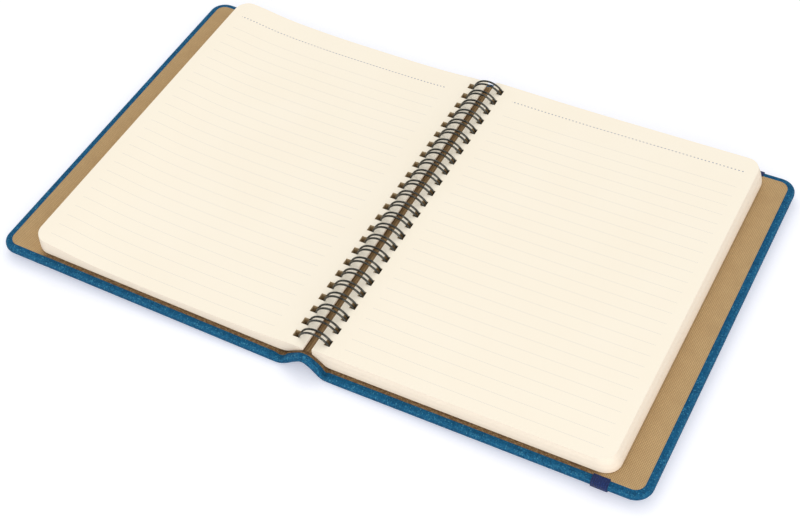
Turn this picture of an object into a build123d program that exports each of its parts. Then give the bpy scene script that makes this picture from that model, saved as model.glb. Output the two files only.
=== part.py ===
"""Hard-cover twin-loop wire notebook, lying open, drawn in millimetres.

X runs across the open book (front cover on the -X side), +Y points to the head, +Z is up.
The origin is the middle of the footprint, on the table.
"""
from build123d import *
from math import asin, cos, degrees, radians, sin
import os

os.makedirs("parts", exist_ok=True)

# cover
cover_height = 216.4        # head to tail
half_width = 178.8          # spine centre line to fore-edge
hinge_x = 14.0              # inner edge of each board
lift_angle = 1.218          # each cover rises this much towards its fore-edge
skin = 0.9                  # cloth on the outside
board = 2.4                 # greyboard
turn_in = 0.85              # cloth folded over the board edge
liner_proud = 0.35          # lining card above the folded cloth
turn_in_width = 12.0
rim = 3.25                  # cloth left showing round the lining
corner_radius = 9.0
edge_round = 1.4
slack = 0.4                 # gap at each cover hinge
strip_gap = 0.06            # glue line round the stiffening strip

# spine, pushed up into a ridge under the wire
strip = 1.0
spine_rise = [(-15, 0.0), (-9.8, 0.7), (-6.0, 2.3), (-1.2, 5.4),
              (2.9, 7.2), (6.6, 5.3), (10.4, 2.0), (14.8, -0.4)]
strip_from = -1.4
strip_to = 8.2

# twin-loop wire
loops = 24
pitch = 25.4 / 3
ring_x = 4.3
ring_z = 9.85
ring_radius = 9.2
wire = 1.1
twin_gap = 2.64             # between the two wires of a loop
page_shift = 0.5            # the wire and the pages sit a little towards the head

# pages
page_height = 208.6
page_clear = 0.35
page_corner = 8.0
hole_height = 4.4           # along the spine

# elastic band
band_width = 8.0
band_thick = 0.8
band_x = 156.4

tilt = radians(lift_angle)
board_length = (half_width - hinge_x) / cos(tilt)
half_height = cover_height / 2
lip_base = skin + board
rim_top = lip_base + turn_in
cover_top = rim_top + liner_proud
spine_lip_base = skin + strip
spine_rim_top = spine_lip_base + turn_in
spine_top = spine_rim_top + liner_proud
first_loop = page_shift - pitch * (loops - 1) / 2


def cover_plane(side, height):
    """Plane lying in one cover; its local X runs outward on the back cover."""
    across = (cos(tilt), 0, side * sin(tilt))
    up = (-side * sin(tilt), 0, cos(tilt))
    foot = (side * hinge_x + up[0] * height, 0, up[2] * height)
    return Plane(origin=foot, x_dir=across, z_dir=up)


def plate(side, height, thickness, inset, corner):
    """Flat sheet in one cover, set in from the three free edges, with rounded outer corners."""
    length = board_length - inset
    with BuildPart() as sheet:
        with BuildSketch(cover_plane(side, height)):
            with Locations((side * length / 2, 0)):
                Rectangle(length, cover_height - 2 * inset)
            outer = vertices().group_by(Axis.X)[-1 if side > 0 else 0]
            fillet(outer, corner)
        extrude(amount=thickness)
    return sheet.part


def beside(line, gap):
    """Points running along a line at a steady distance to its left."""
    points = []
    for step in range(33):
        u = step / 32
        place = line @ u
        along = line % u
        points.append((place.X - along.Y * gap, place.Y + along.X * gap))
    return points


def spine_layer(low, high, length, left=slack - hinge_x, right=hinge_x - slack):
    """Curved sheet following the spine ridge between two depths."""
    with BuildPart() as layer:
        with BuildSketch(Plane.XZ):
            with BuildLine():
                ridge = Spline(*spine_rise, tangents=((1, 0), (1, -0.45)), mode=Mode.PRIVATE)
                lower = Spline(*beside(ridge, low))
                upper = Spline(*beside(ridge, high))
                Line(lower @ 0, upper @ 0)
                Line(lower @ 1, upper @ 1)
            make_face()
            with Locations(((left + right) / 2, 0)):
                Rectangle(right - left, 60, mode=Mode.INTERSECT)
        extrude(amount=length / 2, both=True)
    return layer.part


def loop_places():
    """One location for every loop along the spine."""
    return [Pos(0, first_loop + pitch * number, 0) for number in range(loops)]


def loop_slots(inner, outer, left):
    """Row of slots that follow the wire, on the left or the right half of the loops."""
    with BuildPart() as row:
        with BuildSketch(Plane.XZ):
            with Locations((ring_x, ring_z)):
                Circle(outer)
                Circle(inner, mode=Mode.SUBTRACT)
            with Locations((ring_x + (20 if left else -20), ring_z)):
                Rectangle(40, 60, mode=Mode.SUBTRACT)
        extrude(amount=hole_height / 2, both=True)
    return [place * row.part for place in loop_places()]


# covers: board, cloth wrapped round it, lining card
def cover_cloth(side):
    """Cloth skin with its edge wrap and the part folded over the board."""
    with BuildPart() as cloth:
        add(plate(side, 0, rim_top, 0, corner_radius))
        ends = cloth.edges().filter_by(lambda e: abs(e.center().X) > hinge_x + 1)
        flat = ends.filter_by(lambda e: abs((e % 0.5).Z) < 0.5)
        fillet(flat, edge_round)
        add(plate(side, skin, board, skin, corner_radius - skin), mode=Mode.SUBTRACT)
        add(plate(side, skin, rim_top, turn_in_width, 1.0), mode=Mode.SUBTRACT)
    return cloth.part


def lining(side):
    """Card glued inside the cover, lapping over the folded cloth."""
    with BuildPart() as card:
        add(plate(side, lip_base, cover_top - lip_base, turn_in_width, 1.0))
        add(plate(side, rim_top, liner_proud, rim, corner_radius - rim))
    return card.part


with BuildPart() as front_board:
    add(plate(-1, skin, board, skin, corner_radius - skin))
front_board.part.label = "front_board"
export_step(front_board.part, "parts/front_board.step")

with BuildPart() as back_board:
    add(plate(1, skin, board, skin, corner_radius - skin))
back_board.part.label = "back_board"
export_step(back_board.part, "parts/back_board.step")

with BuildPart() as front_cloth:
    add(cover_cloth(-1))
front_cloth.part.label = "front_cloth"
export_step(front_cloth.part, "parts/front_cloth.step")

with BuildPart() as back_cloth:
    add(cover_cloth(1))
back_cloth.part.label = "back_cloth"
export_step(back_cloth.part, "parts/back_cloth.step")

with BuildPart() as front_lining:
    add(lining(-1))
front_lining.part.label = "front_lining"
export_step(front_lining.part, "parts/front_lining.step")

with BuildPart() as back_lining:
    add(lining(1))
back_lining.part.label = "back_lining"
export_step(back_lining.part, "parts/back_lining.step")

# spine: cloth, stiffening strip and lining, all slotted for the wire
wire_slots = loop_slots(ring_radius - 1.0, ring_radius + 1.0, True)
wire_slots += loop_slots(ring_radius - 1.0, ring_radius + 1.0, False)

with BuildPart() as spine_cloth:
    add(spine_layer(0, spine_rim_top, cover_height))
    add(spine_layer(spine_lip_base, spine_top, cover_height - 2 * turn_in_width), mode=Mode.SUBTRACT)
    add(spine_layer(skin, spine_lip_base, cover_height - 2 * skin, strip_from, strip_to), mode=Mode.SUBTRACT)
    add(wire_slots, mode=Mode.SUBTRACT)
spine_cloth.part.label = "spine_cloth"
export_step(spine_cloth.part, "parts/spine_cloth.step")

with BuildPart() as spine_strip:
    strip_low = skin + strip_gap
    strip_high = spine_lip_base - strip_gap
    strip_length = cover_height - 2 * (skin + strip_gap)
    add(spine_layer(strip_low, strip_high, strip_length, strip_from + strip_gap, strip_to - strip_gap))
spine_strip.part.label = "spine_strip"
export_step(spine_strip.part, "parts/spine_strip.step")

with BuildPart() as spine_lining:
    add(spine_layer(spine_lip_base, spine_top, cover_height - 2 * turn_in_width))
    add(spine_layer(spine_rim_top, spine_top, cover_height - 2 * rim))
    add(wire_slots, mode=Mode.SUBTRACT)
spine_lining.part.label = "spine_lining"
export_step(spine_lining.part, "parts/spine_lining.step")


# pages: one block each side, punched for the wire
def cover_height_at(x):
    """Height of the free space above a cover lining."""
    return (abs(x) - hinge_x) * sin(tilt) + cover_top * cos(tilt) + page_clear


def page_outline(edge):
    """Plan of one page with rounded outer corners, running past the gutter."""
    side = 1 if edge > 0 else -1
    gutter = -10 * side
    with BuildSketch() as plan:
        with Locations(((edge + gutter) / 2, page_shift)):
            Rectangle(abs(edge - gutter), page_height)
        far = plan.vertices().group_by(Axis.X)[-1 if edge > 0 else 0]
        fillet(far, page_corner)
    return plan.sketch


left_foot = [(-13.5, 4.9), (-9.0, 5.3), (-3.2, 8.8), (-0.2, 10.6)]
left_nose = 0.9
left_top = [(0.9, 12.7), (-6.0, 12.8), (-19, 11.5), (-48, 10.7), (-84, 10.9), (-114, 12.0),
            (-134, 14.2), (-148, 16.2), (-159.5, 17.0)]
left_edge = -159.5
right_foot = [(15.0, 4.95), (12.9, 5.3), (9.6, 8.3), (7.0, 9.9)]
right_nose = 6.0
right_top = [(6.0, 14.8), (20, 14.8), (61, 15.1), (107, 16.1), (161.5, 17.5)]
right_edge = 161.5

with BuildPart() as left_pages:
    with BuildSketch(Plane.XZ.offset(-page_shift)):
        with BuildLine():
            foot = Spline(*left_foot)
            top = Spline(*left_top)
            Polyline(foot @ 1, (left_nose, 11.5), top @ 0)
            Line(top @ 1, (left_edge, cover_height_at(left_edge)))
            Line((left_edge, cover_height_at(left_edge)), (-16.5, cover_height_at(-16.5)))
            Line((-16.5, cover_height_at(-16.5)), foot @ 0)
        make_face()
    extrude(amount=page_height / 2, both=True)
    extrude(page_outline(left_edge), amount=40, mode=Mode.INTERSECT)
    add(loop_slots(ring_radius - 1.0, ring_radius + 3.2, True), mode=Mode.SUBTRACT)
left_pages.part.label = "left_pages"
export_step(left_pages.part, "parts/left_pages.step")

with BuildPart() as right_pages:
    with BuildSketch(Plane.XZ.offset(-page_shift)):
        with BuildLine():
            foot = Spline(*right_foot)
            top = Spline(*right_top)
            Polyline(foot @ 1, (right_nose, 10.9), top @ 0)
            Line(top @ 1, (right_edge, cover_height_at(right_edge)))
            Line((right_edge, cover_height_at(right_edge)), (16.8, cover_height_at(16.8)))
            Line((16.8, cover_height_at(16.8)), foot @ 0)
        make_face()
    extrude(amount=page_height / 2, both=True)
    extrude(page_outline(right_edge), amount=40, mode=Mode.INTERSECT)
    add(loop_slots(ring_radius - 2.0, ring_radius + 1.6, False), mode=Mode.SUBTRACT)
right_pages.part.label = "right_pages"
export_step(right_pages.part, "parts/right_pages.step")

# binding wire: pairs of rings joined at the seam under the spine
seam = 5.0                  # half of the seam opening, in degrees
seam_across = ring_radius * sin(radians(seam + 3))
seam_height = ring_z - ring_radius * cos(radians(seam + 3))

with BuildPart() as ring:
    with BuildSketch(Plane.XY):
        with Locations((ring_radius, 0)):
            Circle(wire / 2)
    revolve(axis=Axis.Y, revolution_arc=360 - 2 * seam)
ring_turned = Pos(ring_x, 0, ring_z) * Rot(0, 90 + seam, 0) * ring.part

with BuildPart() as binding_wire:
    for number in range(loops):
        middle = first_loop + pitch * number
        for side in (-1, 1):
            add(Pos(0, middle + side * twin_gap / 2, 0) * ring_turned)
        with BuildSketch(Plane.XZ.offset(-middle)):
            with Locations((ring_x + seam_across, seam_height)):
                Circle(wire / 2 - 0.02)
        extrude(amount=twin_gap / 2, both=True)
        if number < loops - 1:
            with BuildSketch(Plane.XZ.offset(-(middle + pitch / 2))):
                with Locations((ring_x - seam_across, seam_height)):
                    Circle(wire / 2 - 0.02)
            extrude(amount=(pitch - twin_gap) / 2, both=True)
binding_wire.part.label = "binding_wire"
export_step(binding_wire.part, "parts/binding_wire.step")

# elastic closure: runs under the back cover and folds over its head and tail
band_along = (band_x - hinge_x) / cos(tilt)
with BuildPart() as elastic_band:
    with BuildSketch(cover_plane(1, -band_thick)):
        with Locations((band_along, 0)):
            Rectangle(band_width, cover_height + 2 * band_thick)
    extrude(amount=band_thick + rim_top + 0.4)
    with BuildSketch(cover_plane(1, 0)):
        with Locations((band_along, 0)):
            Rectangle(band_width + 2, cover_height)
    extrude(amount=rim_top, mode=Mode.SUBTRACT)
    with BuildSketch(cover_plane(1, rim_top)):
        with Locations((band_along, 0)):
            Rectangle(band_width + 2, cover_height - 2 * rim)
    extrude(amount=2 * band_thick, mode=Mode.SUBTRACT)
elastic_band.part.label = "elastic_band"
export_step(elastic_band.part, "parts/elastic_band.step")
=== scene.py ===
"""Looks for an open, hard-cover, wire-bound notebook with cloth covers.

Shapes are made in millimetres and scaled to metres when a piece is finished.
X runs across the open book, +Y points to the head of the pages and +Z is up.
"""

import math
import random

import bmesh
import bpy
from bpy.props import FloatProperty, FloatVectorProperty, IntProperty, PointerProperty
from mathutils import Matrix, Vector


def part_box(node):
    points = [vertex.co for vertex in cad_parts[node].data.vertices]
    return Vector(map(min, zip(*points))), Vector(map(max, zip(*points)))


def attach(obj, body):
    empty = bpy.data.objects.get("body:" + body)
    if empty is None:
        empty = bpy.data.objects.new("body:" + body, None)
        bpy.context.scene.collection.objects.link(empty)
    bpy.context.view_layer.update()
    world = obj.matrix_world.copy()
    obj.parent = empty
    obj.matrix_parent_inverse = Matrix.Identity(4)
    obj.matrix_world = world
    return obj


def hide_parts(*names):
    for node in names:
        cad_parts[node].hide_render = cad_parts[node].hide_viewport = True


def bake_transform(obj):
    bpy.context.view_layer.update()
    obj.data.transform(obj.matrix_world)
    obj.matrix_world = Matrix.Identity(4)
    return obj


bl_info = {
    "name": "Wire-bound notebook",
    "version": (1, 0, 0),
    "blender": (4, 5, 0),
    "location": "3D View > Sidebar > Notebook",
    "description": "Cloth covers, ruled page stacks, twin-loop wire and elastic of an open notebook",
    "category": "Add Mesh",
}

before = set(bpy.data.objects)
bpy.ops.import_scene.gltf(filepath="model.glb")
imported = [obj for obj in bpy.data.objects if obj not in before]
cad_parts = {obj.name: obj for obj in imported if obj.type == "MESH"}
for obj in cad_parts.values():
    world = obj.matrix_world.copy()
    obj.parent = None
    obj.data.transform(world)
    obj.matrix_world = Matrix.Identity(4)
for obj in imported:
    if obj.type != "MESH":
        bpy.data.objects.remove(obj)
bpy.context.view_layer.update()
CLOTH_LOW, CLOTH_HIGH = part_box("back_cloth")
LEFT_LOW, LEFT_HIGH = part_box("left_pages")
RIGHT_LOW, RIGHT_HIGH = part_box("right_pages")
BAND_LOW, BAND_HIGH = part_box("elastic_band")
WIRE_LOW, WIRE_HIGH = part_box("binding_wire")

MM = 0.001

# Underside of the spine: (across, height) in millimetres, flat under both covers.
RIDGE = [(-17, 0), (-13.2, 0.1), (-9.8, 0.75), (-6, 2.4), (-1.2, 5.4), (2.9, 7.2),
         (6.6, 5.4), (10.2, 2.5), (13.2, 0.75), (16, 0.12), (19, 0)]
RIDGE_TOP = 2.9
TAIL_RISE, HEAD_SINK = 0.17, 0.24  # shares by which the ridge is higher at the tail and lower at the head
SPINE_THINNER = 0.34  # share by which the cover is thinner over the spine than at its boards
FLAT_FROM = 16.5  # the pages lie flat from here outwards

# Page stacks: height of the lowest and of the highest sheet, from the gutter outwards.
LEFT_FOOT = [(-16.5, 4.92), (-13.5, 5.0), (-9, 5.7), (-3.2, 9.0), (0.9, 11.3)]
LEFT_TOP = [(-159.5, 17.0), (-152, 16.7), (-143, 15.6), (-132, 13.8), (-118, 12.4), (-100, 11.5),
            (-84, 11.1), (-48, 11.0), (-24, 11.5), (-12, 12.4), (-6, 12.8), (0.9, 12.7)]
RIGHT_FOOT = [(6.0, 10.9), (9.6, 8.3), (12.9, 5.4), (16.8, 4.95)]
RIGHT_TOP = [(6.0, 14.6), (9, 14.9), (20, 14.9), (61, 15.1), (107, 16.1), (161.5, 17.5)]

# Sides of the punched holes, and how far the sheets fan out at the fore-edge, in millimetres.
LEFT_HOLES, RIGHT_HOLES = (-7.7, -3.9), (9.9, 13.1)
LEFT_FAN, RIGHT_FAN = 0.6, 2.8

# Printing on each page, in metres: left and right end of the rules, place of the heading rule.
PRINTED = {"left": (-0.152, -0.019, 0.0921), "right": (0.0206, 0.153, 0.0939)}
RULE_ROWS = 25.5
DASH_HALF_PITCH, DASH_HALF_LENGTH, RULE_HALF_WIDTH = 0.0004, 0.00026, 0.00015
DOT_HALF_PITCH, DOT_HALF_LENGTH, HEADING_HALF_WIDTH = 0.001015, 0.00042, 0.00028

# Stage: width and place of each lamp, and the camera, in metres and degrees.
LAMP_COLOUR = (1.0, 0.985, 0.96)
KEY_WIDE, KEY_PLACE = 1.3, (-0.75, 0.95, 1.5)
FILL_WIDE, FILL_PLACE = 1.6, (0.75, -1.15, 0.75)
CAMERA_ANGLES = (30.08, 48.74, -3.525)
CAMERA_AWAY, CAMERA_TARGET = 0.78092, (0.01146, -0.02359, -0.0003)
FLOOR_GLOW = (0.27, 0.28, 0.36)


# ---- small maths

def ease(start, end, value):
    """0 at start, 1 at end, smooth between, level outside."""
    t = min(max((value - start) / (end - start), 0.0), 1.0)
    return t * t * (3 - 2 * t)


def smooth_line(points, x):
    """Height at x on a smooth line through (x, height) points, level past its ends."""
    if x <= points[0][0]:
        return points[0][1]
    if x >= points[-1][0]:
        return points[-1][1]
    last = len(points) - 1
    right = next(i for i in range(1, last + 1) if x <= points[i][0])

    def slope(i):
        before, after = points[max(i - 1, 0)], points[min(i + 1, last)]
        return (after[1] - before[1]) / (after[0] - before[0])

    (x0, z0), (x1, z1) = points[right - 1], points[right]
    wide = x1 - x0
    t = (x - x0) / wide
    return ((2 * t ** 3 - 3 * t ** 2 + 1) * z0 + (t ** 3 - 2 * t ** 2 + t) * slope(right - 1) * wide
            + (3 * t ** 2 - 2 * t ** 3) * z1 + (t ** 3 - t ** 2) * slope(right) * wide)


def spaced(start, end, count):
    """Evenly spaced places strictly between start and end."""
    return [start + (end - start) * i / count for i in range(1, count)]


def srgb(red, green, blue):
    """Linear colour from 0-255 screen values."""
    out = []
    for value in (red, green, blue):
        share = value / 255
        out.append(share / 12.92 if share <= 0.04045 else ((share + 0.055) / 1.055) ** 2.4)
    return tuple(out)


# ---- sizes and colours

def length(name, about, default):
    """Length in metres."""
    return FloatProperty(name=name, description=about, default=default, unit="LENGTH")


def shade(name, about, *screen):
    """Colour from 0-255 screen values."""
    return FloatVectorProperty(name=name, description=about, default=srgb(*screen), size=3, subtype="COLOR")


class NOTEBOOK_PG_cover(bpy.types.PropertyGroup):
    half_width: length("Half width", "Spine centre line to fore-edge", CLOTH_HIGH.x)
    height: length("Height", "Head to tail", CLOTH_HIGH.y - CLOTH_LOW.y)
    thickness: length("Thickness", "Board with the cloth on both faces", 0.00415)
    hinge: length("Hinge", "Spine centre line to the inner edge of each board", 0.014)
    reach: length("Reach", "How far each cover reaches past its fore-edge board", 0.0009)
    tail_reach: length("Tail reach", "How far the covers reach past the tail of their boards", 0.0011)
    lift: FloatProperty(
        name="Lift", description="How far each cover leans up", default=math.radians(1.218), unit="ROTATION")
    corner: length("Corner radius", "Plan radius of the outer corners", 0.009)
    edge: length("Edge radius", "Roundness of the wrapped board edge", 0.0017)
    skin: length("Cloth thickness", "Cloth with its glue", 0.00085)
    turn_in: length("Turn-in", "Cloth folded over the inside", 0.012)
    rim: length("Rim", "Cloth left showing at the fore-edge", 0.0039)
    end_rim: length("End rim", "Cloth left showing at head and tail", 0.0036)
    lining: length("Lining", "How far the lining card stands above the cloth", 0.00035)
    thread: length("Thread", "Distance between cover threads", 0.0006)
    grain: length("Lining grain", "Distance between the lining's embossed threads", 0.0008)
    cloth_colour: shade("Cloth", "Main thread colour", 12, 101, 146)
    cloth_dark: shade("Cloth, dark thread", "Darkest threads", 8, 76, 114)
    cloth_light: shade("Cloth, light thread", "Light flecks", 74, 152, 184)
    # The two lining colours paint shade into the grain: lighter on the raised grain, darker in its hollows.
    # The darker one also tints the streaks.
    lining_colour: shade("Lining", "Raised grain of the lining", 208, 176, 128)
    lining_dark: shade("Lining, hollows", "Hollows of the lining's grain", 152, 120, 78)


class NOTEBOOK_PG_pages(bpy.types.PropertyGroup):
    corner: length("Corner radius", "Plan radius of the page corners", 0.008)
    leaves: IntProperty(name="Leaves", description="Groups of sheets seen in each edge", default=14)
    hole: length("Hole", "Height of a punched hole", 0.004)
    rule_pitch: length("Rule pitch", "Distance between ruled lines", 0.00715)
    lowest_rule: length("Lowest rule", "Place of the lowest ruled line", -0.097)
    paper_colour: shade("Paper", "Face of the paper", 254, 245, 227)
    edge_colour: shade("Paper edge", "Cut edge of the sheets", 255, 243, 226)
    # Painted shade: this darker edge colour goes in the gaps between sheets and towards the foot of the
    # stack.
    edge_shade: shade("Paper edge, gaps", "Gaps between sheets", 251, 233, 213)
    # Painted shade: the hole walls are the same paper as the sheets, coloured tan here so the holes look
    # dark.
    hole_shade_colour: shade("Hole wall", "Walls of the punched holes", 226, 204, 166)
    rule_colour: shade("Rules", "Printed rules", 160, 168, 182)


class NOTEBOOK_PG_wire(bpy.types.PropertyGroup):
    radius: length("Loop radius", "Middle of the loops to the middle of the wire", 0.0092)
    wire: length("Wire", "Wire diameter", 0.0011)
    gap: length("Twin gap", "Between the two wires of a loop", 0.00264)
    loops: IntProperty(name="Loops", description="Number of twin loops", default=24)
    colour: shade("Wire colour", "Gunmetal coating", 50, 50, 46)
    elastic_colour: shade("Elastic", "Woven elastic", 20, 48, 108)


class NOTEBOOK_PG_stage(bpy.types.PropertyGroup):
    size: length("Floor", "Side of the floor", 3.2)
    sky: FloatProperty(name="Sky", description="Brightness of the white room", default=0.70)
    key: FloatProperty(name="Key light", description="Power of the lamp behind", default=6.5, unit="POWER")
    fill: FloatProperty(
        name="Fill light", description="Power of the lamp in front", default=10.5, unit="POWER")
    focal: FloatProperty(
        name="Focal length", description="Camera lens", default=68.23, subtype="DISTANCE_CAMERA")


# ---- mesh helpers

def slab(low, high):
    """Box between two corners, in a new bmesh."""
    bm = bmesh.new()
    bmesh.ops.create_cube(bm, size=1)
    low, high = Vector(low), Vector(high)
    bmesh.ops.scale(bm, vec=high - low, verts=bm.verts)
    bmesh.ops.translate(bm, vec=(low + high) / 2, verts=bm.verts)
    return bm


def round_edges(bm, edges, radius, segments):
    """Rounds edges with an even arc."""
    bmesh.ops.bevel(bm, geom=edges, offset=radius, offset_type="OFFSET", affect="EDGES",
                    segments=segments, profile=0.5, material=-1, clamp_overlap=True)


def cut(bm, axis, places):
    """Slices the whole mesh square to an axis at each place."""
    square = Vector((0, 0, 0))
    square[axis] = 1
    for place in sorted(set(places)):
        bmesh.ops.bisect_plane(bm, geom=bm.verts[:] + bm.edges[:] + bm.faces[:], dist=1e-5,
                               plane_co=square * place, plane_no=square)


def upright(edge):
    """True for an edge along Z."""
    along = edge.verts[0].co - edge.verts[1].co
    return abs(along.z) > 0.99 * along.length


def near(value, target):
    return abs(value - target) < 1e-4


def corner_edges(bm, outer):
    """Upright edges at the outer end of a slab."""
    return [e for e in bm.edges if upright(e) and near(e.verts[0].co.x, outer)]


def rim_edges(bm, height, inner):
    """Edges round one face of a slab, except those at its inner end."""
    return [e for e in bm.edges if all(near(v.co.z, height) for v in e.verts)
            and not all(near(v.co.x, inner) for v in e.verts)]


def map_faces(bm, name):
    """Map of each face in millimetres, taken square to its nearest axis."""
    layer = bm.loops.layers.uv.new(name)
    bm.normal_update()
    for face in bm.faces:
        n = face.normal
        for loop in face.loops:
            co = loop.vert.co
            if abs(n.z) >= 0.7:
                loop[layer].uv = (co.x, co.y)
            elif abs(n.y) > abs(n.x):
                loop[layer].uv = (co.x, co.z)
            else:
                loop[layer].uv = (co.z, co.y)


def mark_crest(bm):
    """Marks the middle of every rounded edge, where the cloth is painted paler: partly wear, partly a painted
    highlight.
    """
    layer = bm.verts.layers.float.new("crest")
    bm.normal_update()
    for v in bm.verts:
        flat = math.hypot(v.normal.x, v.normal.y)
        v[layer] = max(0.0, 2 * flat * abs(v.normal.z) - 0.35) / 0.65


def add_object(name, data):
    """New object in the scene, at the origin."""
    made = bpy.data.objects.new(name, data)
    bpy.context.scene.collection.objects.link(made)
    return made


def make_piece(bm, name, materials, nodes, sharp=40):
    """Turns the bmesh into an object in metres that stands for CAD nodes."""
    bm.transform(Matrix.Scale(MM, 4))
    bm.normal_update()
    for face in bm.faces:
        face.smooth = True
    for edge in bm.edges:
        edge.smooth = edge.calc_face_angle(0.0) < math.radians(sharp)
    mesh = bpy.data.meshes.new(name)
    bm.to_mesh(mesh)
    bm.free()
    for material in materials:
        mesh.materials.append(material)
    piece = add_object(name, mesh)
    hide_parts(*nodes)
    return piece


# ---- bent cover

def cover_sizes():
    """Cover sizes in millimetres."""
    cover = bpy.context.scene.notebook_cover
    names = ("half_width", "height", "thickness", "hinge", "corner", "edge", "skin", "turn_in", "rim",
             "end_rim", "lining", "reach", "tail_reach")
    return {n: getattr(cover, n) / MM for n in names} | {"lift": math.tan(cover.lift)}


def underside(x, y, size):
    """Height of the cover's underside above the table."""
    half = size["height"] / 2
    ends = 1 + TAIL_RISE * ease(8 - half, 1 - half, y) - HEAD_SINK * ease(half - 14, half - 1, y)
    return smooth_line(RIDGE, x) * ends + max(abs(x) - size["hinge"], 0) * size["lift"]


def on_cover(x, y, high, size):
    """Point at a height above the underside, measured square to it."""
    half = size["height"] / 2
    step = 0.1
    slope = (underside(x + step, y, size) - underside(x - step, y, size)) / (2 * step)
    run = math.hypot(1, slope)
    spine = ease(16.5, 12.2, x) if x > 0 else ease(-14.4, -11.4, x)
    roll = ease(half - 9, half - 2, abs(y)) * ease(-9, -4, x) * ease(12.5, 8.5, x)
    high *= 1 - SPINE_THINNER * spine * (1 - roll)
    place = Vector((x - slope * high / run, y, underside(x, y, size) + high / run))
    outer = size["half_width"]
    place.x += math.copysign(size["reach"], x) * ease(outer - 40, outer, abs(x))
    place.y -= size["tail_reach"] * ease(40 - half, -half, y)
    return place


def bend_to_cover(bm, size, sink=0.0):
    """Lays a flat sheet on the bent cover; sink lets it down inside the turn-in."""
    tall, wide = size["height"] / 2 - size["turn_in"], size["half_width"] - size["turn_in"]
    for v in bm.verts:
        x, y, high = v.co
        inside = ease(0, 1.6, min(tall - abs(y), wide - abs(x)))
        v.co = on_cover(x, y, high - sink * inside * ease(12, 17, abs(x)), size)


def cover_cuts(size, side):
    """Places across and along the cover where the bent sheet needs cuts."""
    half, outer = size["height"] / 2, size["half_width"]
    across = spaced(RIDGE_TOP, 19 * side, 26) + [19 * side]
    across += spaced(19 * side, (outer - size["turn_in"]) * side, 18)
    across += [(outer - size["turn_in"]) * side, (outer - size["turn_in"] - 1.6) * side]
    along = spaced(-half + 16, half - 16, 22)
    for end in (-1, 1):
        along += [end * (half - inset) for inset in (1.2, 2.2, 3.4, 5, 7, 9, 11, 12, 13.6, 16)]
    return across, along


class NOTEBOOK_OT_cover_cloth(bpy.types.Operator):
    """Blue cloth wrapped round both boards and over the spine"""

    bl_idname = "notebook.cover_cloth"
    bl_label = "Cover cloth"

    def execute(self, context):
        size = cover_sizes()
        half, outer, thick = size["height"] / 2, size["half_width"], size["thickness"]
        cloth = cloth_material()
        for side, word in ((-1, "front"), (1, "back")):
            low = (min(RIDGE_TOP, outer * side), -half, 0)
            high = (max(RIDGE_TOP, outer * side), half, thick)
            bm = slab(low, high)
            round_edges(bm, corner_edges(bm, outer * side), size["corner"], 12)
            rims = rim_edges(bm, 0, RIDGE_TOP) + rim_edges(bm, thick, RIDGE_TOP)
            round_edges(bm, rims, size["edge"], 6)
            across, along = cover_cuts(size, side)
            cut(bm, 0, across)
            cut(bm, 1, along)
            bm.normal_update()
            under_lining = [
                f for f in bm.faces if near(f.calc_center_median().z, thick)
                and abs(f.calc_center_median().y) < half - size["turn_in"]
                and abs(f.calc_center_median().x) < outer - size["turn_in"]]
            inner_end = [f for f in bm.faces if all(near(v.co.x, RIDGE_TOP) for v in f.verts)]
            bmesh.ops.delete(bm, geom=under_lining + inner_end, context="FACES")
            map_faces(bm, "weave")
            mark_crest(bm)
            bend_to_cover(bm, size)
            piece = make_piece(bm, f"cover_cloth_{word}", [cloth],
                               [f"{word}_cloth", "spine_cloth"])
            wall = piece.modifiers.new("cloth thickness", "SOLIDIFY")
            wall.thickness = size["skin"] * MM
            wall.offset = -1
            wall.use_even_offset = True
            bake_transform(piece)
        return {"FINISHED"}


class NOTEBOOK_OT_lining(bpy.types.Operator):
    """Tan card glued over the turned-in cloth, and the stiffening strip under it"""

    bl_idname = "notebook.lining"
    bl_label = "Lining"

    def execute(self, context):
        size = cover_sizes()
        half, outer, rim = size["height"] / 2, size["half_width"], size["rim"]
        top = size["thickness"] + size["lining"]
        card = lining_material()
        for side, word in ((-1, "front"), (1, "back")):
            edge = (outer - rim) * side
            low = (min(RIDGE_TOP, edge), size["end_rim"] - half, top - 0.5)
            high = (max(RIDGE_TOP, edge), half - size["end_rim"], top)
            bm = slab(low, high)
            round_edges(bm, corner_edges(bm, edge), size["corner"] - rim, 8)
            round_edges(bm, rim_edges(bm, top, RIDGE_TOP), 0.16, 2)
            across, along = cover_cuts(size, side)
            cut(bm, 0, across)
            cut(bm, 1, along)
            map_faces(bm, "weave")
            bend_to_cover(bm, size, sink=0.22)
            piece = make_piece(bm, f"lining_card_{word}", [card],
                               [f"{word}_lining", "spine_lining"])
            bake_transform(piece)
        bm = slab((-1.3, 1.5 - half, 1.3), (8.1, half - 1.5, 2.5))
        round_edges(bm, bm.edges[:], 0.2, 2)
        cut(bm, 0, spaced(-1.3, 8.1, 12))
        cut(bm, 1, cover_cuts(size, 1)[1])
        map_faces(bm, "weave")
        bend_to_cover(bm, size)
        strip = make_piece(bm, "spine_stiffener", [board_material()], ["spine_strip"])
        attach(strip, "spine")
        return {"FINISHED"}


# ---- pages

def loop_places():
    """Place of each twin loop along the spine, in millimetres."""
    count = bpy.context.scene.notebook_wire.loops
    gap = bpy.context.scene.notebook_wire.gap / MM
    thick = bpy.context.scene.notebook_wire.wire / MM
    first = WIRE_LOW.y / MM + thick / 2 + gap / 2
    last = WIRE_HIGH.y / MM - thick / 2 - gap / 2
    return [first + (last - first) * i / (count - 1) for i in range(count)]


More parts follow.
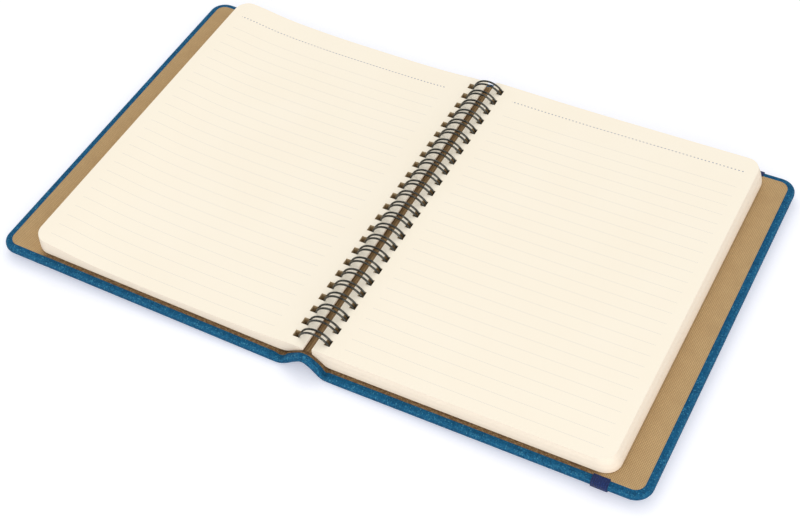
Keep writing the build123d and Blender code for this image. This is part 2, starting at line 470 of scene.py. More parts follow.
def punch(bm, hole_from, hole_to, half_hole, material):
    """Square holes right through a stack that has been cut along their sides."""
    places = loop_places()
    cells = []
    for face in bm.faces:
        c = face.calc_center_median()
        level = abs(face.normal.z) > 0.5
        if level and hole_from < c.x < hole_to and any(abs(c.y - p) < half_hole for p in places):
            cells.append(face)
    bmesh.ops.delete(bm, geom=cells, context="FACES")
    for place in places:
        lips = [e for e in bm.edges if e.is_boundary and all(
            hole_from - 0.01 < v.co.x < hole_to + 0.01 and abs(v.co.y - place) < half_hole + 0.01
            for v in e.verts)]
        walls = bmesh.ops.bridge_loops(bm, edges=lips)["faces"]
        for face in walls:
            face.material_index = material


def page_stack(name, inner, outer, low_y, high_y, foot, top, fan, holes, seed):
    """One stack of sheets with rounded outer corners, fanned edges and punched holes."""
    pages = bpy.context.scene.notebook_pages
    half_hole = pages.hole / MM / 2
    tall = 10.0
    low = (min(inner, outer), low_y, 0)
    high = (max(inner, outer), high_y, tall)
    bm = slab(low, high)
    round_edges(bm, corner_edges(bm, outer), pages.corner / MM, 12)
    side = 1 if outer > inner else -1
    across = spaced(inner, inner + side * 22, 18) + spaced(inner + side * 22, outer, 26)
    across += [outer - side * inset for inset in (1, 2, 4)]
    across = [x for x in across if not holes[0] - 0.4 < x < holes[1] + 0.4] + list(holes)
    along = []
    for place in loop_places():
        along += [place - half_hole, place + half_hole]
    along += [low_y + 1, low_y + 3, high_y - 1, high_y - 3]
    cut(bm, 0, across)
    cut(bm, 1, along)
    cut(bm, 2, spaced(0, tall, pages.leaves))
    bm.normal_update()
    for face in bm.faces:
        face.material_index = 0 if face.normal.z > 0.5 else 1
    leaf = bm.verts.layers.float.new("leaf")
    draw = random.Random(seed)
    steps = [draw.uniform(-0.09, 0.09) for _ in range(pages.leaves + 1)]
    steps[-1] = 0.0
    for v in bm.verts:
        share = v.co.z / tall
        v[leaf] = share
        flat = Vector((v.normal.x, v.normal.y, 0))
        if flat.length > 0.3:
            v.co += flat.normalized() * steps[round(share * pages.leaves)]
        v.co.x += side * fan * (0.5 - share ** 1.6) * ease(outer - 16 * side, outer, v.co.x)
    punch(bm, holes[0], holes[1], half_hole, 2)
    lift = cover_sizes()["lift"]
    for v in bm.verts:
        share = v.co.z / tall
        bottom, above = smooth_line(foot, v.co.x), smooth_line(top, v.co.x)
        if abs(v.co.x) > FLAT_FROM:
            bottom += (abs(v.co.x) - FLAT_FROM) * lift
        v.co.z = bottom + (above - bottom) * share
    materials = [ruled_material(name), shared("page edges", page_edge_material),
                 shared("punched walls", hole_shade_material)]
    return make_piece(bm, name, materials, [], sharp=50)


class NOTEBOOK_OT_pages(bpy.types.Operator):
    """Two stacks of ruled cream sheets punched for the wire"""

    bl_idname = "notebook.pages"
    bl_label = "Page stacks"

    def execute(self, context):
        left = page_stack("page_stack_left", LEFT_HIGH.x / MM, LEFT_LOW.x / MM, LEFT_LOW.y / MM,
                          LEFT_HIGH.y / MM, LEFT_FOOT, LEFT_TOP, LEFT_FAN, LEFT_HOLES, 3)
        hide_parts("left_pages")
        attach(left, "left_stack")
        right = page_stack("page_stack_right", RIGHT_LOW.x / MM, RIGHT_HIGH.x / MM - 0.6, RIGHT_LOW.y / MM,
                           RIGHT_HIGH.y / MM, RIGHT_FOOT, RIGHT_TOP, RIGHT_FAN, RIGHT_HOLES, 5)
        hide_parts("right_pages")
        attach(right, "right_stack")
        return {"FINISHED"}


# ---- wire and elastic

def ring_parts(geometry):
    return [g for g in geometry if isinstance(g, (bmesh.types.BMVert, bmesh.types.BMEdge))]


def run_straight(bm, ring, move):
    """Draws the ring of a tube on by a straight run."""
    edges = [g for g in ring if isinstance(g, bmesh.types.BMEdge)]
    made = bmesh.ops.extrude_edge_only(bm, edges=edges)["geom"]
    bmesh.ops.translate(bm, vec=move, verts=[g for g in made if isinstance(g, bmesh.types.BMVert)])
    return ring_parts(made)


def run_round(bm, ring, middle, axis, degrees, steps):
    """Draws the ring of a tube on round an arc."""
    made = bmesh.ops.spin(bm, geom=ring, cent=middle, axis=axis, dvec=(0, 0, 0), angle=math.radians(degrees),
                          steps=steps, use_merge=False, use_normal_flip=False, use_duplicate=False)
    return ring_parts(made["geom_last"])


def round_ring(bm, radius, segments, middle):
    """Ring of points round Y, the start of a tube."""
    made = bmesh.ops.create_circle(bm, cap_ends=False, radius=radius, segments=segments)["verts"]
    bmesh.ops.rotate(bm, cent=(0, 0, 0), matrix=Matrix.Rotation(math.radians(90), 3, "X"), verts=made)
    bmesh.ops.translate(bm, vec=middle, verts=made)
    edges = {e for v in made for e in v.link_edges}
    return list(made) + list(edges)


class NOTEBOOK_OT_wire(bpy.types.Operator):
    """Row of twin loops bent from one length of wire"""

    bl_idname = "notebook.wire"
    bl_label = "Twin-loop wire"

    def execute(self, context):
        wire = context.scene.notebook_wire
        radius, half_gap, thick = wire.radius / MM, wire.gap / MM / 2, wire.wire / MM
        centre = Vector(((WIRE_LOW.x + WIRE_HIGH.x) / 2, 0, 0)) / MM
        centre.z = WIRE_HIGH.z / MM - thick / 2 - radius
        places = loop_places()
        half_pitch = (places[1] - places[0]) / 2
        foot_angle, tip_angle, bend = math.radians(-11.5), math.radians(12.5), 1.0

        def outward(angle):
            return Vector((math.sin(angle), 0, -math.cos(angle)))

        def tangent(angle):
            return Vector((-math.cos(angle), 0, -math.sin(angle)))

        sweep = 360 - math.degrees(tip_angle - foot_angle)
        foot, tip = centre + outward(foot_angle) * radius, centre + outward(tip_angle) * radius
        bm = bmesh.new()
        for place in places:
            here = Vector((0, place, 0))
            straight = half_pitch - half_gap - bend
            seam = foot - tangent(foot_angle) * bend + here - Vector((0, half_pitch, 0))
            ring = round_ring(bm, thick / 2, 10, seam)
            ring = run_straight(bm, ring, (0, straight, 0))
            before = foot + here - Vector((0, half_gap + bend, 0))
            ring = run_round(bm, ring, before, -outward(foot_angle), 90, 4)
            ring = run_round(bm, ring, centre + here, (0, 1, 0), sweep, 54)
            ring = run_round(bm, ring, tip + here, outward(tip_angle), 180, 8)
            ring = run_round(bm, ring, centre + here, (0, 1, 0), -sweep, 54)
            after = foot + here + Vector((0, half_gap + bend, 0))
            ring = run_round(bm, ring, after, -outward(foot_angle), 90, 4)
            run_straight(bm, ring, (0, straight, 0))
        bmesh.ops.remove_doubles(bm, verts=bm.verts, dist=0.01)
        bmesh.ops.holes_fill(bm, edges=[e for e in bm.edges if e.is_boundary], sides=0)
        bmesh.ops.recalc_face_normals(bm, faces=bm.faces)
        piece = make_piece(bm, "twin_loop_wire", [wire_material()], ["binding_wire"], sharp=60)
        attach(piece, "spine")
        return {"FINISHED"}


class NOTEBOOK_OT_elastic(bpy.types.Operator):
    """Flat woven elastic that runs under the back cover and over its head and tail"""

    bl_idname = "notebook.elastic"
    bl_label = "Closure elastic"

    def execute(self, context):
        size = cover_sizes()
        half, thick, bend = size["height"] / 2, size["thickness"], size["edge"]
        middle = (BAND_LOW.x + BAND_HIGH.x) / 2 / MM
        wide, strap = (BAND_HIGH.x - BAND_LOW.x) / MM, 0.7
        bm = bmesh.new()
        ring = round_ring(bm, strap / 2, 10, (0, 0, 0))
        for v in [g for g in ring if isinstance(g, bmesh.types.BMVert)]:
            v.co.x += math.copysign(wide / 2 - strap / 2, v.co.x)
            v.co += Vector((middle, 0, -strap / 2 - 0.02))
        turn = bend - half
        for part in range(12):
            ring = run_straight(bm, ring, (0, turn / 12, 0))
        ring = run_round(bm, ring, (0, turn, bend), (-1, 0, 0), 90, 6)
        ring = run_straight(bm, ring, (0, 0, thick - 2 * bend))
        ring = run_round(bm, ring, (0, turn, thick - bend), (-1, 0, 0), 90, 6)
        ring = run_straight(bm, ring, (0, size["rim"] - bend + 0.1, 0))
        bmesh.ops.holes_fill(bm, edges=[g for g in ring if isinstance(g, bmesh.types.BMEdge)], sides=0)
        bmesh.ops.mirror(bm, geom=bm.verts[:] + bm.edges[:] + bm.faces[:], matrix=Matrix.Identity(4),
                         merge_dist=0.01, axis="Y")
        bmesh.ops.remove_doubles(bm, verts=bm.verts, dist=0.001)
        bmesh.ops.recalc_face_normals(bm, faces=bm.faces)
        map_faces(bm, "weave")
        for v in bm.verts:
            v.co = on_cover(v.co.x, v.co.y, v.co.z, size)
        piece = make_piece(bm, "closure_elastic", [elastic_material()], ["elastic_band"], sharp=60)
        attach(piece, "back_cover")
        return {"FINISHED"}


# ---- materials

def feed(tree, socket, value):
    """Gives an input a constant, or a link from another socket."""
    if isinstance(value, bpy.types.NodeSocket):
        tree.links.new(value, socket)
    elif socket.type == "RGBA" and len(value) == 3:
        socket.default_value = (*value, 1)
    else:
        socket.default_value = value


def node(tree, kind, inputs=None, **settings):
    """Adds a node with its settings and inputs."""
    made = tree.nodes.new(kind)
    for name, value in settings.items():
        setattr(made, name, value)
    for name, value in (inputs or {}).items():
        feed(tree, made.inputs[name], value)
    return made


def calc(tree, operation, first, second=0.0, third=0.0):
    """Result of a Math node."""
    made = node(tree, "ShaderNodeMath", {0: first, 1: second, 2: third}, operation=operation)
    return made.outputs[0]


def times(tree, first, second):
    """Product of two values."""
    return calc(tree, "MULTIPLY", first, second)


def blend_colour(tree, factor, first, second):
    """Mix of two colours."""
    return node(tree, "ShaderNodeMix", {0: factor, 6: first, 7: second}, data_type="RGBA").outputs[2]


def band(tree, value, low, high, to_low=0.0, to_high=1.0):
    """Smooth step of a value."""
    made = node(tree, "ShaderNodeMapRange",
                {"Value": value, "From Min": low, "From Max": high, "To Min": to_low, "To Max": to_high},
                interpolation_type="SMOOTHSTEP")
    return made.outputs[0]


def noise(tree, vector, scale, detail=3.0, rough=0.5):
    made = node(tree, "ShaderNodeTexNoise", {"Vector": vector, "Scale": scale, "Detail": detail,
                                             "Roughness": rough})
    return made.outputs["Fac"]


def new_group(name, inputs, outputs):
    """Empty node group with its sockets, and its input and output nodes."""
    tree = bpy.data.node_groups.new(name, "ShaderNodeTree")
    for socket, kind in inputs:
        tree.interface.new_socket(socket, in_out="INPUT", socket_type=kind)
    for socket, kind in outputs:
        tree.interface.new_socket(socket, in_out="OUTPUT", socket_type=kind)
    return tree, tree.nodes.new("NodeGroupInput"), tree.nodes.new("NodeGroupOutput")


def weave_group():
    """Plain weave from a map in millimetres: thread height, streaks along threads, and flecks."""
    found = bpy.data.node_groups.get("plain weave")
    if found:
        return found
    tree, source, sink = new_group(
        "plain weave",
        [("Map", "NodeSocketVector"), ("Thread", "NodeSocketFloat"), ("Wander", "NodeSocketFloat")],
        [("Height", "NodeSocketFloat"), ("Streak", "NodeSocketFloat"), ("Fleck", "NodeSocketFloat")])
    wander = node(tree, "ShaderNodeTexNoise", {"Vector": source.outputs["Map"], "Scale": 0.35, "Detail": 2.0})
    shift = node(tree, "ShaderNodeVectorMath", {0: wander.outputs["Color"], 1: (0.5, 0.5, 0.5)},
                 operation="SUBTRACT")
    scaled = node(tree, "ShaderNodeVectorMath", {0: shift.outputs[0]}, operation="SCALE")
    tree.links.new(source.outputs["Wander"], scaled.inputs["Scale"])
    moved = node(tree, "ShaderNodeVectorMath", {0: source.outputs["Map"], 1: scaled.outputs[0]},
                 operation="ADD")
    parts = node(tree, "ShaderNodeSeparateXYZ", {0: moved.outputs[0]})
    u = calc(tree, "DIVIDE", parts.outputs[0], source.outputs["Thread"])
    v = calc(tree, "DIVIDE", parts.outputs[1], source.outputs["Thread"])
    warp_id, weft_id = calc(tree, "FLOOR", u), calc(tree, "FLOOR", v)
    over = calc(tree, "PINGPONG", calc(tree, "ADD", warp_id, weft_id), 1.0)
    warp = calc(tree, "ABSOLUTE", calc(tree, "SINE", times(tree, u, math.pi)))
    weft = calc(tree, "ABSOLUTE", calc(tree, "SINE", times(tree, v, math.pi)))
    warp_high = times(tree, warp, calc(tree, "MULTIPLY_ADD", weft, 0.5, 0.5))
    weft_high = times(tree, weft, calc(tree, "MULTIPLY_ADD", warp, 0.5, 0.5))
    height = node(tree, "ShaderNodeMix", {0: over, 2: warp_high, 3: weft_high})
    warp_place = node(tree, "ShaderNodeCombineXYZ", {0: times(tree, warp_id, 3.7),
                                                     1: times(tree, v, 0.16)})
    weft_place = node(tree, "ShaderNodeCombineXYZ", {0: times(tree, u, 0.16),
                                                     1: times(tree, weft_id, 3.7), 2: 40.0})
    streak = node(tree, "ShaderNodeMix", {0: over, 2: noise(tree, warp_place.outputs[0], 1.0, 2.0),
                                          3: noise(tree, weft_place.outputs[0], 1.0, 2.0)})
    cell = node(tree, "ShaderNodeCombineXYZ", {0: warp_id, 1: weft_id})
    fleck = node(tree, "ShaderNodeTexWhiteNoise", {"Vector": cell.outputs[0]}, noise_dimensions="2D")
    tree.links.new(height.outputs[0], sink.inputs["Height"])
    tree.links.new(streak.outputs[0], sink.inputs["Streak"])
    tree.links.new(fleck.outputs["Value"], sink.inputs["Fleck"])
    return tree


def shared(name, make):
    """The named material, made on first use."""
    return bpy.data.materials.get(name) or make()


def object_place(tree):
    """Place on the piece, in metres."""
    return node(tree, "ShaderNodeTexCoord").outputs["Object"]


def seen_by(tree, *rays):
    """1 for the named kinds of ray, 0 for others."""
    path = tree.nodes.new("ShaderNodeLightPath")
    seen = path.outputs[rays[0]]
    for ray in rays[1:]:
        seen = calc(tree, "ADD", seen, path.outputs[ray])
    return calc(tree, "MINIMUM", seen, 1.0)


def empty_material(name):
    """Material with an empty node tree."""
    material = bpy.data.materials.new(name)
    material.use_nodes = True
    tree = material.node_tree
    tree.nodes.clear()
    return material, tree


def new_material(name):
    """Material with its shader and output."""
    material, tree = empty_material(name)
    shader = tree.nodes.new("ShaderNodeBsdfPrincipled")
    output = tree.nodes.new("ShaderNodeOutputMaterial")
    tree.links.new(shader.outputs[0], output.inputs["Surface"])
    return material, tree, shader


def set_shader(tree, shader, **values):
    """Constants and links on the shader's own sockets."""
    for name, value in values.items():
        feed(tree, shader.inputs[name.replace("_", " ")], value)


def bump(tree, height, strength, distance, under=None):
    """Normal from a height of 0 to 1, which stands for a distance in metres."""
    inputs = {"Height": height, "Strength": strength, "Distance": distance}
    if under is not None:
        inputs["Normal"] = under
    return node(tree, "ShaderNodeBump", inputs).outputs[0]


def place_weave(tree, thread, wander):
    """The weave group, reading the piece's own map."""
    uv = node(tree, "ShaderNodeUVMap", uv_map="weave")
    group = tree.nodes.new("ShaderNodeGroup")
    group.node_tree = weave_group()
    tree.links.new(uv.outputs[0], group.inputs["Map"])
    group.inputs["Thread"].default_value = thread
    group.inputs["Wander"].default_value = wander
    return uv.outputs[0], group


def cloth_material():
    cover = bpy.context.scene.notebook_cover
    material, tree, shader = new_material("heathered blue cloth")
    place, weave = place_weave(tree, cover.thread / MM, 0.5)
    dark, main, light = (tuple(c) for c in (cover.cloth_dark, cover.cloth_colour, cover.cloth_light))
    threads = blend_colour(tree, band(tree, weave.outputs["Streak"], 0.36, 0.6), dark, main)
    patches = band(tree, noise(tree, place, 0.05, 3.0), 0.35, 0.7, 0.0, 0.35)
    threads = blend_colour(tree, patches, threads, main)
    flecks = times(tree, band(tree, weave.outputs["Fleck"], 0.74, 0.98, 0.0, 0.75),
                  band(tree, weave.outputs["Streak"], 0.42, 0.62))
    threads = blend_colour(tree, flecks, threads, light)
    # The crest of every rounded edge is painted paler: partly wear, partly a painted highlight where the edge
    # catches the light.
    crest = node(tree, "ShaderNodeAttribute", attribute_name="crest").outputs["Fac"]
    crest_wear_and_highlight = times(tree, crest, band(tree, noise(tree, place, 0.9, 4.0, 0.7), 0.42, 0.66, 0.0, 0.55))
    threads = blend_colour(tree, crest_wear_and_highlight, threads, light)
    # Painted shade: the hollows of the weave are darkened towards deep navy.
    hollows = band(tree, weave.outputs["Height"], 0.0, 0.8, 0.4, 0.0)
    colour = blend_colour(tree, hollows, threads, srgb(2, 42, 82))
    rough = band(tree, weave.outputs["Streak"], 0.3, 0.7, 0.86, 0.7)
    set_shader(tree, shader, Base_Color=colour, Roughness=rough, Specular_IOR_Level=0.2,
               Normal=bump(tree, weave.outputs["Height"], 0.7, 0.0003))
    return material


def lining_material():
    cover = bpy.context.scene.notebook_cover
    material, tree, shader = new_material("tan lining card")
    place, weave = place_weave(tree, cover.grain / MM, 0.15)
    light, dark = tuple(cover.lining_colour), tuple(cover.lining_dark)
    # Painted shade: the hollows of the grain take the darker colour and the raised grain the lighter one.
    grain = blend_colour(tree, band(tree, weave.outputs["Height"], 0.1, 0.85), dark, light)
    mottle = band(tree, noise(tree, place, 0.12, 4.0), 0.35, 0.7, 0.0, 0.3)
    grain = blend_colour(tree, mottle, grain, srgb(172, 140, 98))
    streaks = band(tree, weave.outputs["Streak"], 0.35, 0.65, 0.14, 0.0)
    grain = blend_colour(tree, streaks, grain, dark)
    # Painted shade: the lining is darkened towards dark brown in the gutter between the page stacks, and
    # along its tail end where the pages overhang it.
    parts = node(tree, "ShaderNodeSeparateXYZ", {0: object_place(tree)})
    from_ridge = calc(tree, "ABSOLUTE", calc(tree, "SUBTRACT", parts.outputs[0], RIDGE_TOP * MM))
    gutter = band(tree, from_ridge, 0.010, 0.014, 0.42, 0.0)
    ends = band(tree, calc(tree, "ABSOLUTE", parts.outputs[1]), 0.1015, 0.1035, 0.0, 1.0)
    ends = times(tree, ends, band(tree, noise(tree, place, 0.8, 4.0, 0.7), 0.35, 0.6, 0.55, 0.95))
    across = band(tree, calc(tree, "ABSOLUTE", parts.outputs[0]), 0.150, 0.158, 1.0, 0.0)
    tail = band(tree, parts.outputs[1], -0.09, -0.10, 0.0, 1.0)
    painted_shade_under_pages = times(tree, times(tree, ends, across), tail)
    grain = blend_colour(tree, calc(tree, "MAXIMUM", gutter, painted_shade_under_pages), grain, srgb(88, 62, 36))
    set_shader(tree, shader, Base_Color=grain, Roughness=band(tree, weave.outputs["Height"], 0, 1, 0.85, 0.7),
               Specular_IOR_Level=0.3, Normal=bump(tree, weave.outputs["Height"], 0.5, 0.0002))
    return material


def board_material():
    material, tree, shader = new_material("grey board")
    place = object_place(tree)
    fibres = noise(tree, place, 900.0, 4.0, 0.7)
    colour = blend_colour(tree, band(tree, fibres, 0.3, 0.7), srgb(150, 144, 134), srgb(182, 176, 164))
    set_shader(tree, shader, Base_Color=colour, Roughness=band(tree, fibres, 0.2, 0.8, 0.95, 0.8),
               Normal=bump(tree, fibres, 0.4, 0.0002))
    return material


def rules_group():
    """Masks of the dotted rules and of the header rule, from a place in metres."""
    found = bpy.data.node_groups.get("dotted rules")
    if found:
        return found
    numbers = ("Left", "Right", "Header", "Highest", "Lowest", "Pitch")
    tree, source, sink = new_group(
        "dotted rules",
        [("Place", "NodeSocketVector")] + [(n, "NodeSocketFloat") for n in numbers],
        [("Rules", "NodeSocketFloat"), ("Heading", "NodeSocketFloat")])
    parts = node(tree, "ShaderNodeSeparateXYZ", {0: source.outputs["Place"]})
    x, y = parts.outputs[0], parts.outputs[1]

    def inside(value, low, high):
        above = calc(tree, "GREATER_THAN", value, low)
        return times(tree, above, calc(tree, "LESS_THAN", value, high))

    across = inside(x, source.outputs["Left"], source.outputs["Right"])
    fine = calc(tree, "LESS_THAN", calc(tree, "PINGPONG", x, DASH_HALF_PITCH), DASH_HALF_LENGTH)
    fine = times(tree, fine, across)
    dots = calc(tree, "LESS_THAN", calc(tree, "PINGPONG", x, DOT_HALF_PITCH), DOT_HALF_LENGTH)
    dots = times(tree, dots, across)
    rise = calc(tree, "SUBTRACT", y, source.outputs["Lowest"])
    off = calc(tree, "PINGPONG", rise, times(tree, source.outputs["Pitch"], 0.5))
    rule = calc(tree, "LESS_THAN", off, RULE_HALF_WIDTH)
    low = calc(tree, "SUBTRACT", source.outputs["Lowest"], 0.001)
    rule = times(tree, rule, inside(y, low, source.outputs["Highest"]))
    off = calc(tree, "ABSOLUTE", calc(tree, "SUBTRACT", y, source.outputs["Header"]))
    heading = calc(tree, "LESS_THAN", off, HEADING_HALF_WIDTH)
    tree.links.new(times(tree, rule, fine), sink.inputs["Rules"])
    tree.links.new(times(tree, heading, dots), sink.inputs["Heading"])
    return tree


def ruled_material(name):
    """Cream paper with faint rules; the two pages are printed at slightly different places."""
    pages = bpy.context.scene.notebook_pages
    word = name.split("_")[-1]
    material, tree, shader = new_material(f"ruled paper, {word}")
    place = object_place(tree)
    group = tree.nodes.new("ShaderNodeGroup")
    group.node_tree = rules_group()
    tree.links.new(place, group.inputs["Place"])
    highest = pages.lowest_rule + pages.rule_pitch * RULE_ROWS
    numbers = (*PRINTED[word], highest, pages.lowest_rule, pages.rule_pitch)
    for socket, value in zip(("Left", "Right", "Header", "Highest", "Lowest", "Pitch"), numbers):
        group.inputs[socket].default_value = value
    fibre = noise(tree, place, 1400.0, 4.0, 0.65)
    cloud = noise(tree, place, 28.0, 2.0)
    paper = blend_colour(tree, band(tree, cloud, 0.3, 0.7, 0.0, 0.25), tuple(pages.paper_colour),
                         srgb(252, 241, 220))
    paper = blend_colour(tree, band(tree, fibre, 0.55, 0.8, 0.0, 0.12), paper, srgb(238, 224, 198))
    ink = tuple(pages.rule_colour)
    paper = blend_colour(tree, times(tree, group.outputs["Rules"], 0.35), paper, ink)
    paper = blend_colour(tree, times(tree, group.outputs["Heading"], 0.9), paper, srgb(122, 136, 160))
    set_shader(tree, shader, Base_Color=paper, Roughness=band(tree, fibre, 0.3, 0.7, 0.75, 0.62),
               Specular_IOR_Level=0.3, Normal=bump(tree, fibre, 0.12, 0.0001))
    return material


def page_edge_material():
    pages = bpy.context.scene.notebook_pages
    material, tree, shader = new_material("page edges")
    place = object_place(tree)
    leaf = node(tree, "ShaderNodeAttribute", attribute_name="leaf").outputs["Fac"]
    wave = noise(tree, place, 30.0, 3.0)
    level = calc(tree, "ADD", times(tree, leaf, 60.0), times(tree, wave, 3.0))
    line = node(tree, "ShaderNodeTexNoise", {"W": level, "Scale": 1.0, "Detail": 2.0}, noise_dimensions="1D")
    # Painted shade: thin darker lines in the gaps between the sheets, and the edges darker towards the foot
    # of the stack.
    gaps = band(tree, line.outputs["Fac"], 0.56, 0.38)
    foot = band(tree, leaf, 0.0, 0.55, 0.35, 0.0)
    colour = blend_colour(tree, times(tree, gaps, 0.5), tuple(pages.edge_colour), tuple(pages.edge_shade))
    colour = blend_colour(tree, foot, colour, tuple(pages.edge_shade))
    set_shader(tree, shader, Base_Color=colour, Roughness=band(tree, wave, 0.3, 0.7, 0.85, 0.72),
               Specular_IOR_Level=0.2, Normal=bump(tree, line.outputs["Fac"], 0.35, 0.0002))
    return material


# Painted shade: the walls of the punched holes are tan instead of paper cream, and darker further down, so
# the holes look dark. The specks are grain.
def hole_shade_material():
    pages = bpy.context.scene.notebook_pages
    material, tree, shader = new_material("punched walls")
    leaf = node(tree, "ShaderNodeAttribute", attribute_name="leaf").outputs["Fac"]
    place = object_place(tree)
    speck = noise(tree, place, 1500.0, 3.0)
    colour = blend_colour(tree, band(tree, leaf, 0.7, 1.0), srgb(196, 168, 124), tuple(pages.hole_shade_colour))
    colour = blend_colour(tree, band(tree, speck, 0.4, 0.7, 0.0, 0.4), colour, srgb(150, 124, 88))
    set_shader(tree, shader, Base_Color=colour, Roughness=band(tree, speck, 0.3, 0.7, 0.95, 0.8),
               Normal=bump(tree, speck, 0.3, 0.0002))
    return material


def wire_material():
    wire = bpy.context.scene.notebook_wire
    material, tree, shader = new_material("gunmetal wire")
    place = object_place(tree)
    scuffs = noise(tree, place, 700.0, 4.0, 0.6)
    colour = blend_colour(tree, band(tree, scuffs, 0.35, 0.7), tuple(wire.colour), srgb(92, 92, 86))
    rough = band(tree, scuffs, 0.3, 0.75, 0.14, 0.28)
    set_shader(tree, shader, Base_Color=colour, Metallic=1.0, Roughness=rough, Coat_Weight=0.25,
               Coat_Roughness=0.12, Normal=bump(tree, scuffs, 0.06, 0.0001))
    return material


def elastic_material():
    wire = bpy.context.scene.notebook_wire
    material, tree, shader = new_material("woven elastic")
    place, weave = place_weave(tree, 0.5, 0.08)
    parts = node(tree, "ShaderNodeSeparateXYZ", {0: place})
    rib = calc(tree, "ABSOLUTE", calc(tree, "SINE", times(tree, parts.outputs[0], math.pi)))
    main = tuple(wire.elastic_colour)
    colour = blend_colour(tree, band(tree, weave.outputs["Streak"], 0.35, 0.65), srgb(14, 36, 88), main)
    # Painted shade: the grooves between the ribs are darkened.
    colour = blend_colour(tree, band(tree, rib, 0.0, 0.5, 0.5, 0.0), colour, srgb(10, 16, 50))
    flecks = band(tree, weave.outputs["Fleck"], 0.85, 1.0, 0.0, 0.3)
    colour = blend_colour(tree, flecks, colour, srgb(70, 90, 150))
    ribbed = bump(tree, rib, 0.6, 0.0003)
    set_shader(tree, shader, Base_Color=colour, Roughness=band(tree, rib, 0, 1, 0.9, 0.7), Sheen_Weight=0.1,
               Specular_IOR_Level=0.3, Normal=bump(tree, weave.outputs["Height"], 0.6, 0.0002, ribbed))
    return material


# ---- boards and stage

class NOTEBOOK_OT_boards(bpy.types.Operator):
    """Finish of the two boards inside the cloth"""

    bl_idname = "notebook.boards"
    bl_label = "Boards"

    def execute(self, context):
        material = shared("grey board", board_material)
        for name in ("front_board", "back_board"):
            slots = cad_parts[name].material_slots
            if not slots:
                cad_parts[name].data.materials.append(material)
            for slot in slots:
                slot.material = material
        return {"FINISHED"}


def lit_floor_material():
    """White floor that keeps soft, slightly blue shade, and looks white to the camera and in reflections."""
    material, tree = empty_material("white floor")
    seen = seen_by(tree, "Is Camera Ray", "Is Glossy Ray", "Is Transmission Ray")
    grain = noise(tree, object_place(tree), 3.0)
    colour = blend_colour(tree, grain, (0.80, 0.80, 0.78), (0.82, 0.82, 0.80))
    floor = node(tree, "ShaderNodeBsdfDiffuse", {"Color": colour})
    glow = node(tree, "ShaderNodeEmission", {"Color": FLOOR_GLOW, "Strength": seen})
    both = node(tree, "ShaderNodeAddShader", {0: floor.outputs[0], 1: glow.outputs[0]})
    output = tree.nodes.new("ShaderNodeOutputMaterial")
    tree.links.new(both.outputs[0], output.inputs["Surface"])
    return material


def aim(thing, place, target):
    """Puts a lamp at a place and turns it to a target."""
    thing.location = place
    thing.rotation_euler = (Vector(target) - Vector(place)).to_track_quat("-Z", "Y").to_euler()


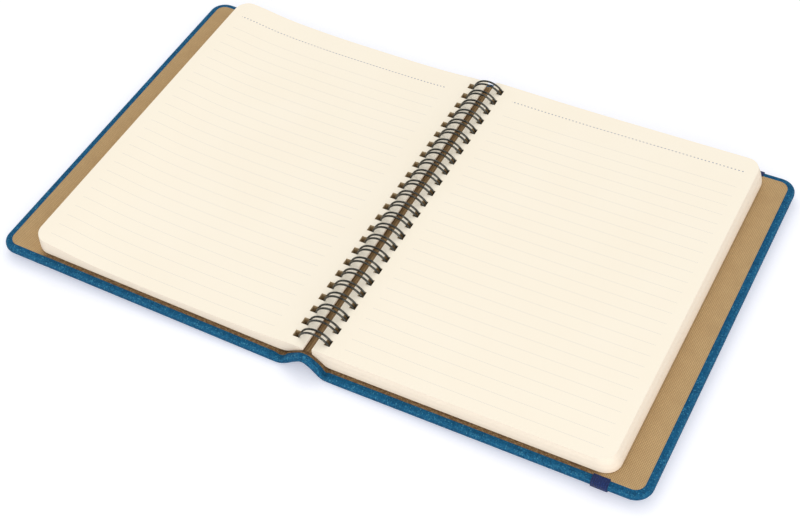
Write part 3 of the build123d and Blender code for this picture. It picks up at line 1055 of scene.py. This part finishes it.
class NOTEBOOK_OT_stage(bpy.types.Operator):
    """Pale floor, soft light and camera"""

    bl_idname = "notebook.stage"
    bl_label = "Stage"

    def execute(self, context):
        scene, stage = context.scene, context.scene.notebook_stage
        bm = bmesh.new()
        bmesh.ops.create_grid(bm, x_segments=4, y_segments=4, size=stage.size / 2)
        mesh = bpy.data.meshes.new("floor")
        bm.to_mesh(mesh)
        bm.free()
        mesh.materials.append(lit_floor_material())
        floor = add_object("floor", mesh)

        world = bpy.data.worlds.new("white room")
        world.use_nodes = True
        tree = world.node_tree
        seen = seen_by(tree, "Is Camera Ray", "Is Transmission Ray")
        strength = calc(tree, "ADD", times(tree, seen, 1 - stage.sky), stage.sky)
        background = tree.nodes["Background"]
        background.inputs["Color"].default_value = (1, 1, 1, 1)
        tree.links.new(strength, background.inputs["Strength"])
        scene.world = world

        for name, power, wide, place in (("key", stage.key, KEY_WIDE, KEY_PLACE),
                                         ("fill", stage.fill, FILL_WIDE, FILL_PLACE)):
            lamp = bpy.data.lights.new(name, "AREA")
            lamp.shape, lamp.size, lamp.energy = "DISK", wide, power
            lamp.color = LAMP_COLOUR
            aim(add_object(name, lamp), place, (0, 0, 0))

        azimuth, elevation, roll = (math.radians(a) for a in CAMERA_ANGLES)
        target = Vector(CAMERA_TARGET)
        back = Vector((math.sin(azimuth) * math.cos(elevation), -math.cos(azimuth) * math.cos(elevation),
                       math.sin(elevation)))
        right = (-back).cross(Vector((0, 0, 1))).normalized()
        up = right.cross(-back)
        side = right * math.cos(roll) + up * math.sin(roll)
        top = up * math.cos(roll) - right * math.sin(roll)
        camera_data = bpy.data.cameras.new("camera")
        camera_data.sensor_width = 36
        camera_data.sensor_fit = "HORIZONTAL"
        camera_data.lens = stage.focal
        camera_data.clip_start, camera_data.clip_end = 0.01, 50
        camera = add_object("camera", camera_data)
        turn = Matrix((side, top, back)).transposed().to_4x4()
        camera.matrix_world = Matrix.Translation(target + back * CAMERA_AWAY) @ turn
        scene.camera = camera
        scene.view_settings.view_transform = "Standard"
        return {"FINISHED"}


# ---- panel and start

GROUPS = (("notebook_cover", NOTEBOOK_PG_cover), ("notebook_pages", NOTEBOOK_PG_pages),
          ("notebook_wire", NOTEBOOK_PG_wire), ("notebook_stage", NOTEBOOK_PG_stage))
STEPS = (NOTEBOOK_OT_cover_cloth, NOTEBOOK_OT_lining, NOTEBOOK_OT_boards, NOTEBOOK_OT_pages,
         NOTEBOOK_OT_wire, NOTEBOOK_OT_elastic, NOTEBOOK_OT_stage)


class NOTEBOOK_PT_sidebar(bpy.types.Panel):
    """Sizes, colours and steps of the notebook"""

    bl_label = "Notebook"
    bl_idname = "NOTEBOOK_PT_sidebar"
    bl_space_type = "VIEW_3D"
    bl_region_type = "UI"
    bl_category = "Notebook"

    def draw(self, context):
        for name, group in GROUPS:
            box = self.layout.box()
            for prop in group.__annotations__:
                box.prop(getattr(context.scene, name), prop)
        for step in STEPS:
            self.layout.operator(step.bl_idname)


def register():
    for name, group in GROUPS:
        bpy.utils.register_class(group)
        setattr(bpy.types.Scene, name, PointerProperty(type=group))
    for step in STEPS:
        bpy.utils.register_class(step)
    bpy.utils.register_class(NOTEBOOK_PT_sidebar)


def unregister():
    bpy.utils.unregister_class(NOTEBOOK_PT_sidebar)
    for step in reversed(STEPS):
        bpy.utils.unregister_class(step)
    for name, group in reversed(GROUPS):
        delattr(bpy.types.Scene, name)
        bpy.utils.unregister_class(group)


def main():
    """Builds every piece in order."""
    register()
    bpy.ops.notebook.cover_cloth()
    bpy.ops.notebook.lining()
    bpy.ops.notebook.boards()
    bpy.ops.notebook.pages()
    bpy.ops.notebook.wire()
    bpy.ops.notebook.elastic()
    bpy.ops.notebook.stage()
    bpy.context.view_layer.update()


if __name__ == "__main__":
    main()
